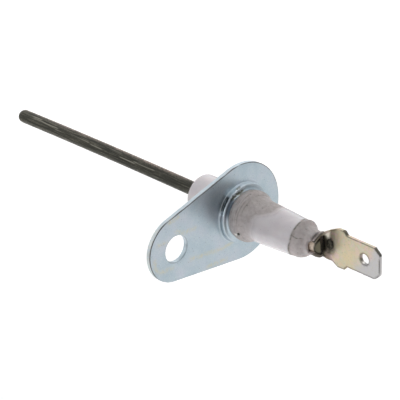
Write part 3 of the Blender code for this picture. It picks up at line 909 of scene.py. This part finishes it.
def collar_paint(points, x, radius, angle, lump, green):
    """Fields of the collar: painted dark reflections on its wall and foot, a painted blue reflection
    on its top, a painted dark line on the wall, painted highlights along its ridges with pale chips,
    and a matte upper side.
    """
    crown = ease(1.35, 1.7, x)
    wall = window(x, 0.98, 1.08, 1.75, 1.88) * window(radius, 5.5, 5.6, 6.04, 6.12)
    foot = window(x, 0.75, 0.95, 1.0, 1.1) * ease(6.35, 6.1, radius + 0.1 * lump)
    raised = ease(0.98, 1.05, x) * ease(6.3, 6.0, radius)
    ragged = angle + 4 * grain(points, 0.4, 9)
    stretched = np.c_[3 * x, points[:, 1:]]
    streaky = 0.55 + 0.45 * ease(-0.5, 0.1, grain(stretched, (0.5, 1.5, 1.5), 12))
    # painted dark reflection: a black band round part of the collar's wall, and a weaker one on its
    # foot
    black_wall = wall * window(ragged, *BLACK_WALL) * streaky
    black_foot = 0.6 * foot * window(ragged, *BLACK_FOOT)
    # painted dark reflection: a line along the collar's lower wall
    reflected_line = wall * bell(x - 1.45 - 0.06 * grain(points, 0.5, 10), 0.09) * window(angle, *REFLECTED_LINE_WALL)
    chips = ease(0.15, 0.4, grain(points, 0.35, 11)) * facing(angle, 104, 14)
    dull = 1 - 0.7 * facing(angle, 136, 16)
    # painted highlights along the foot and the crown, pale chips on the crown, and a painted soft
    # sheen over the raised top
    pale = bell(radius - 6.05, 0.1) * ease(0.8, 0.9, x) * window(angle, *PALE_FOOT)
    pale += bell(radius - 5.68, 0.09) * ease(1.6, 1.7, x) * window(angle, *PALE_CROWN) * dull
    pale += chips * crown * window(radius, 5.0, 5.2, 5.9, 6.0)
    pale += 0.6 * raised * ease(5.2, 5.4, radius) * facing(angle, 62, 40)
    # painted highlight: a pale patch on the collar's top
    top_highlight = 1.2 * bell(radius - 5.5 - 0.16 * lump, 0.2) * crown * window(angle, *HIGHLIGHT_TOP)
    return {"black": np.maximum(black_wall, black_foot),
            # painted blue reflection of the ceramic on the collar's inner top
            "blue": ease(1.75, 1.95, x) * ease(5.75, 5.6, radius) * window(angle, *BLUE_TOP),
            "dark": 0.7 * reflected_line,
            "pale": pale + top_highlight * (1 - green),
            "matte": raised * facing(angle, 66, 36)}


def build_flange():
    """Two-lobe plate with sheared edges, a drawn collar staked over the ceramic and a screw hole."""
    loops = [lobe_outline(0.3), circle((SCREW_Y, 0.0), SCREW_HOLE, 0.2),
             circle((0.0, 0.0), COLLAR_RADIUS, 0.13)]
    sheared = cut_edge(0.09, 0.16, PLATE)
    flat, faces, depth, share = sheet_metal(loops, [sheared, sheared, collar_wall()], 0.42)
    x = flat[:, 2]
    plan = flat * (1, 1, 0)
    points = flat[:, [2, 0, 1]]
    radius, angle = polar(points)
    collar = ease(COLLAR_RADIUS + 0.5, COLLAR_RADIUS + 0.1, radius) * ease(0.9, 1.15, x)
    crown = ease(1.35, 1.7, x)
    battered = crown * facing(angle, BURR_ANGLE, BURR_REACH) ** 2
    lump = grain(points, 0.45, 1)
    points[:, 0] += collar * 0.015 * grain(points, 1, 2) + battered * (0.12 * lump - 0.05)
    points[:, 1:] *= (1 - battered * (0.028 * lump + 0.012 * grain(points, 0.2, 3)))[:, None]
    points[:, 1:] *= (1 + 0.002 * crown * grain(points, 0.8, 4))[:, None]
    ripple = 0.02 * grain(plan, 5, 5) + 0.006 * grain(plan, 1.5, 6)
    points[:, 0] += ripple * (1 - collar) * ease(0.2, 0.8, x)
    cut = (share > 0.02) & (share < 0.98) & (radius > COLLAR_RADIUS + 1)
    tear = 0.018 * grain(points * (0.35, 1, 1), 0.22, 7) * cut
    points[:, 1:] += (flat[:, :2] / np.maximum(radius, 1)[:, None]) * tear[:, None]
    green = 0.3 * np.clip(battered * ease(-0.1, 0.35, lump), 0, 1) * ease(5.95, 5.8, radius)
    for at, middle, turn, width in CRUSHED:
        gap = np.hypot(turn_between(angle, at) / turn, (radius - middle) / width)
        mark = ease(1.25, 0.75, gap + 0.35 * lump) * crown
        green = np.maximum(green, mark)
        points[:, 0] -= CRUSHED_DEPTH * mark
    upper = ease(0.7, 0.95, x) * (1 - collar)
    # painted shade: a dark blue reflection of the barrel on the plate beside the collar
    shade = 0.4 * upper * facing(angle, 150, 26) * bell(radius - 8.2, 2.2)
    plate = plate_paint(flat, points, depth, share, radius, upper)
    ring = collar_paint(points, x, radius, angle, lump, green)
    fields = {"straw": plate["straw"],
              "green": 0.9 * green,
              "black": ring["black"],
              "matte": ring["matte"],
              "blue": 0.7 * np.maximum(ring["blue"], shade),
              "dark": np.clip(plate["dark"] + ring["dark"], 0, 1),
              "pale": 0.8 * np.clip(np.maximum(plate["pale"], ring["pale"]), 0, 1)}
    return add_piece("flange_sheet", "flange_plate", points, faces, fields, zinc_finish())


# ---------------- terminal

NECK_UP = 2.6  # half widths of the neck between ears and blade
NECK_DOWN = 2.5
FLAP_UP = FOLD_RADIUS * radians(138)  # how far each ear goes round the rod
FLAP_DOWN = FOLD_RADIUS * radians(150)
EAR_UP_X = (20.25, 21.05, 21.15)  # along the rod: start, end at the free edge and at the root
EAR_DOWN_X = (19.75, 21.3)
FLARE_EARLY = 0.35  # how much sooner the upper side opens out
EAR_BULGE = 0.5  # how far the upper ear's root stands off the rod
EAR_CLOSE = 0.24  # how much tighter than the fold the free ends lie
SHOULDER_X = 25.3
TAB_X = 25.95  # the blade has its full width from here
SCORCH_X = 21.45
SCORCH_REACH = 1.5
CREASE_X = 21.75


def blank_corners():
    """Corners (x, across, rounding) of the flat blank, counter-clockwise from the lower flap."""
    half = BLADE_WIDTH / 2
    return [
        (EAR_DOWN_X[0], -FLAP_DOWN, 0.32), (EAR_DOWN_X[1], -FLAP_DOWN, 0.32),
        (EAR_DOWN_X[1], -NECK_DOWN - 0.1, 0.12), (23.6, -4.0, 0.7), (SHOULDER_X, -3.95, 0.32),
        (TAB_X, -half, 0.32), (BLADE_END_X - 1.2, -half, 1.0), (BLADE_END_X, -2.05, 0.9),
        (BLADE_END_X, 2.0, 0.32), (BLADE_END_X - 1.35, half, 0.35), (TAB_X, half, 0.25),
        (SHOULDER_X, 3.85, 0.32), (23.8, 3.85, 0.8), (EAR_UP_X[2], NECK_UP, 0.12),
        (EAR_UP_X[1], FLAP_UP, 0.28), (EAR_UP_X[0], FLAP_UP, 0.28), (EAR_UP_X[0], NECK_UP, 2.0),
    ]


def fold(points):
    """Bend blank points (x, across, height above the rod's side) round the rod and turn them."""
    x, across, height = points.T
    early = FLARE_EARLY * ease(0.3, 2.0, across)
    opened = np.clip((x + early - FOLD_END_X) / (FLAT_START_X - FOLD_END_X), 0, 1)
    share = (1 + np.cos(pi * opened)) / 2
    thickness = 1 + (FOLD_SHEET / BLADE - 1) * share
    offset = (BLADE / 2 - height) * thickness
    floor_y = BLADE_MIDDLE_Y + (FOLD_RADIUS - BLADE_MIDDLE_Y) * share
    radius = FOLD_RADIUS / np.maximum(share, 1e-4)
    angle = across / radius
    reach = radius + offset
    turned = np.degrees(angle)
    off = share * (EAR_BULGE * bell(turned - 50, 26) - EAR_CLOSE * ease(75, 120, np.abs(turned)))
    y = floor_y - radius + (reach + off) * np.cos(angle)
    z = (reach + off) * np.sin(angle)
    return np.stack([x, y * cos(TWIST) - z * sin(TWIST), y * sin(TWIST) + z * cos(TWIST)], axis=1)


def root_burns(flat, points, outside, ear_down, on_ear, near):
    """How burnt the terminal is: round the weld, over the neck, and in patches on its ears."""
    x, across = flat[:, 0], flat[:, 1]
    gap = np.hypot(x - SCORCH_X, (across + 0.25) * 0.85)
    ragged = gap + 0.35 * grain(flat, 0.9, 5) + 0.12 * grain(flat, 0.3, 6)
    scorch = ease(SCORCH_REACH + 0.35, SCORCH_REACH - 0.35, ragged) * near
    smoke = ease(-0.3, 0.3, grain(points, 0.8, 7) + 0.35 * ease(0.0, 2.0, across))
    smoke *= ease(21.5, 20.6, x) * ease(-4.5, -2.0, across)
    soot = ear_down * ease(-0.1, 0.5, grain(points, 0.5, 10) + 0.8 * ease(20.4, 21.2, x))
    turned = polar(points)[1]
    band = facing(turned, 95, 16) * ease(20.95, 20.7, x)
    corner = ease(96, 80, turned) * ease(20.4, 20.7, x)
    patches = np.maximum(soot, outside * np.maximum(band, corner))
    return np.maximum(np.maximum(scorch, smoke) * (1 - on_ear), 0.8 * patches)


def terminal_paint(flat, points, depth, share, near):
    """Fields of the terminal: burnt root, painted highlight on the facet by the crease, painted shade
    along the crease, dark cut edges, tints, and a painted lilac reflection on the ears.
    """
    x, across = flat[:, 0], flat[:, 1]
    wall = (share > 0.05) & (share < 0.95)
    on_ear = ease(21.3, 21.0, x - 0.5 * (across < 0)) * ease(1.6, 2.2, np.abs(across))
    ear_up = on_ear * (across > 0)
    ear_down = on_ear * (across < 0)
    outside = ear_up * (1 - near)
    rim = 0.75 * bell(depth - 0.08, 0.13) * near * ease(-0.8, 0.0, grain(points, 1.2, 8))
    ear_rim = on_ear * bell(depth - 0.05, 0.14) * ((share < 0.05) | (share > 0.95))
    # painted shade along the crease
    crease = bell(x - CREASE_X - 0.1 * across, 0.14) * window(across, 0.8, 1.3, 2.6, 3.2) * near
    shoulder = window(x, 24.8, 25.0, 26.0, 26.2) * ease(3.0, 3.2, across)
    chamfer = ease(BLADE_END_X - 1.5, BLADE_END_X - 1.3, x) * ease(1.7, 1.9, across)
    bore = ease(1.5, 1.3, np.hypot(x - TAB_HOLE_X, across))
    dark = np.maximum.reduce([
        rim,
        ear_rim * (0.3 + 0.6 * ease(20.6, 20.9, x)),
        0.9 * crease,
        0.9 * np.maximum(shoulder, chamfer) * wall,
        0.45 * bore * wall,
        ear_up * wall * (1 - 0.7 * bell(share - 0.5, 0.16)),
        0.8 * outside * ease(20.75, 21.0, x)])
    # painted highlight on the facet where the root bends into the blade, and down the middle of the
    # upper ear's cut edge
    facet = window(across, 0.8, 1.2, 2.4, 2.7) * bell(x - CREASE_X + 0.45, 0.46) * near
    bright = np.maximum(facet, 0.2 * ear_up * wall * bell(share - 0.5, 0.12))
    burnt = root_burns(flat, points, outside, ear_down, on_ear, near)
    grey = (x - 30.0) * 0.35 - across * 0.3 + 0.6 * grain(flat, 1.6, 9)
    straw = np.hypot(x - 26.2, (across + 0.6) * 0.8) + 0.8 * grain(flat, 1.5, 11)
    return {"burnt": np.clip(burnt * (1 - bright), 0, 1),
            "dark": np.clip(dark, 0, 1),
            "bright": bright,
            "grey": ease(-0.5, 0.7, grey),
            "straw": bell(straw, 2.2) * near,
            # painted lilac reflection of the ceramic on the ears' outer faces
            "lilac": on_ear * (1 - near)}


def build_terminal():
    """Blade, shoulders and folded ears from one sheet, with sheared edges and a burnt root."""
    loops = [rounded_outline(blank_corners(), 0.16), circle((TAB_HOLE_X, 0.0), TAB_HOLE, 0.12)]
    walls = [cut_edge(0.06, 0.22, BLADE), cut_edge(0.08, 0.06, BLADE)]
    flat, faces, depth, share = sheet_metal(loops, walls, 0.24)
    plan = flat * (1, 1, 0)
    near = ease(0.5, 0.75, flat[:, 2])
    wear = 0.012 * grain(plan, 2, 1) + 0.01 * grain(flat, 0.5, 2)
    flat[:, 2] += wear * (share < 0.02)
    flat[:, :2] += 0.012 * np.stack([grain(flat, 0.3, 3), grain(flat, 0.3, 4)], 1)
    points = fold(flat)
    fields = terminal_paint(flat, points, depth, share, near)
    return add_piece("terminal_sheet", "terminal_tab", points, faces, fields, tab_finish())


WELD_SPREAD = (1.2, 0.8, 1.1)  # size over the CAD solid's, along each axis
WELD_SHIFT = (-0.3, 0.5, 0.1)  # back towards the rod and into the blade


def build_weld():
    """Flattened, lumpy weld metal between the rod's end and the blade."""
    low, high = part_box("weld_bead")
    middle = np.array((low + high) / 2 - AXIS) / MM
    half = np.array(high - low) / MM / 2
    ball, faces = spun([(-cos(a), sin(a)) for a in np.linspace(0, pi, 22)], 40, closed=False)
    swell = 1 + 0.3 * grain(ball, 0.6, 1) + 0.1 * grain(ball, 0.3, 2)
    points = ball * swell[:, None] * half * WELD_SPREAD + middle + WELD_SHIFT
    return add_piece("weld_metal", "weld_bead", points, faces, {}, weld_finish(), sharp=80)


# ---------------- studio

VIEW_AZIMUTH = radians(49.91)
VIEW_ELEVATION = radians(29.86)
VIEW_ROLL = radians(-6.42)
VIEW_DISTANCE = 0.3541
VIEW_AIM = Vector((-0.0085, 0.0065, 0.0))
VIEW_LENS = 168.4
FLOOR_DROP = 0.15
FLOOR_HALF = 0.45
FLOOR_GLOW = 0.35  # light the floor gives the object
FLOOR_SEEN_GLOW = 0.3  # glow that only the camera sees, below the object
FLOOR_FAR_GLOW = 0.75  # the same far out, where the floor meets the backdrop
FLOOR_FAR = (0.33, 0.6)  # metres from the origin over which it changes
WORLD_SEEN = 1.0
WORLD_MIRRORED = 0.3
LAMP_DISTANCE = 0.7
LAMP_SIZE = 0.5
LAMPS = (
    # name, azimuth and elevation in degrees, power in watts
    ("front_left", 0, 15, 1.53),
    ("left", 315, 15, 0.53),
    ("far_left", 270, 15, 1.04),
    ("left_high", 300, 50, 0.36),
    ("back_left_high", 240, 50, 0.38),
    ("back_left", 225, 15, 0.61),
    ("back", 180, 15, 0.74),
    ("back_high", 180, 50, 1.78),
    ("back_right_high", 120, 50, 1.01),
    ("front_high", 60, 50, 0.19),
)


def towards(azimuth, elevation):
    """Unit vector from the object; azimuth 0 is towards -Y and 90 towards +X."""
    return Vector((sin(azimuth) * cos(elevation), -cos(azimuth) * cos(elevation), sin(elevation)))


def placed(name, data, location, back, roll=0.0):
    """Camera or lamp that looks along the opposite of back."""
    thing = bpy.data.objects.new(name, data)
    thing.location = location
    thing.rotation_mode = "QUATERNION"
    thing.rotation_quaternion = back.to_track_quat("Z", "Y") @ Quaternion((0, 0, 1), roll)
    bpy.context.scene.collection.objects.link(thing)
    return thing


def add_camera():
    """Camera at the photograph's viewing angle."""
    lens = bpy.data.cameras.new("camera")
    lens.lens = VIEW_LENS
    lens.sensor_width = 36.0
    lens.clip_start = 0.01
    back = towards(VIEW_AZIMUTH, VIEW_ELEVATION)
    place = VIEW_AIM + back * VIEW_DISTANCE
    bpy.context.scene.camera = placed("camera", lens, place, back, VIEW_ROLL)


def add_lamps():
    """Large soft lamps round the object, each facing it."""
    for name, azimuth, elevation, power in LAMPS:
        lamp = bpy.data.lights.new(name, "AREA")
        lamp.shape = "DISK"
        lamp.size = LAMP_SIZE
        lamp.energy = power
        direction = towards(radians(azimuth), radians(elevation))
        placed(name, lamp, direction * LAMP_DISTANCE, direction)


def paper_finish():
    """White paper that glows a little, more strongly to the camera where it is far away."""
    f = Finish("white_paper")
    sight = f.add("LightPath", "Is Camera Ray", {})
    reach = f.add("VectorMath", "Value", {0: f.place}, operation="LENGTH")
    far = f.span(reach, *FLOOR_FAR)
    glow = f.blend(sight, FLOOR_GLOW, f.blend(far, FLOOR_SEEN_GLOW, FLOOR_FAR_GLOW))
    colour = f.mix(f.grain(40), tone(246, 246, 246), tone(250, 250, 250))
    return f.done(colour, 0.9, 0.0, f.bump(f.grain(1.5), 0.02), Emission_Color=(1, 1, 1, 1),
                  Emission_Strength=glow)


def add_floor():
    """White paper some way below the object."""
    corners = [(x * FLOOR_HALF, y * FLOOR_HALF, -FLOOR_DROP)
               for x, y in ((-1, -1), (1, -1), (1, 1), (-1, 1))]
    mesh = bpy.data.meshes.new("floor")
    mesh.from_pydata(corners, [], [(0, 1, 2, 3)])
    mesh.materials.append(paper_finish())
    floor = bpy.data.objects.new("floor", mesh)
    bpy.context.scene.collection.objects.link(floor)


def add_world():
    """White backdrop to the camera, dimmer in reflections, that gives no light to matte surfaces."""
    world = bpy.data.worlds.new("studio")
    bpy.context.scene.world = world
    world.use_nodes = True
    nodes = Nodes(world.node_tree)
    mirrored = nodes.times(nodes.add("LightPath", "Is Glossy Ray", {}), WORLD_MIRRORED)
    level = nodes.blend(nodes.add("LightPath", "Is Camera Ray", {}), mirrored, WORLD_SEEN)
    backdrop = world.node_tree.nodes["Background"]
    nodes.feed(backdrop.inputs["Strength"], level)
    nodes.feed(backdrop.inputs["Color"], (1, 1, 1, 1))
    bpy.context.scene.view_settings.view_transform = "Standard"


def dress_washer():
    """The seat washer is the CAD node itself, with its own material."""
    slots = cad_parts["seat_washer"].data.materials
    slots.clear()
    slots.append(packing_finish())


def main():
    build_rod()
    build_ceramic()
    build_cement()
    build_flange()
    build_terminal()
    build_weld()
    dress_washer()
    add_floor()
    add_world()
    add_lamps()
    add_camera()


main()
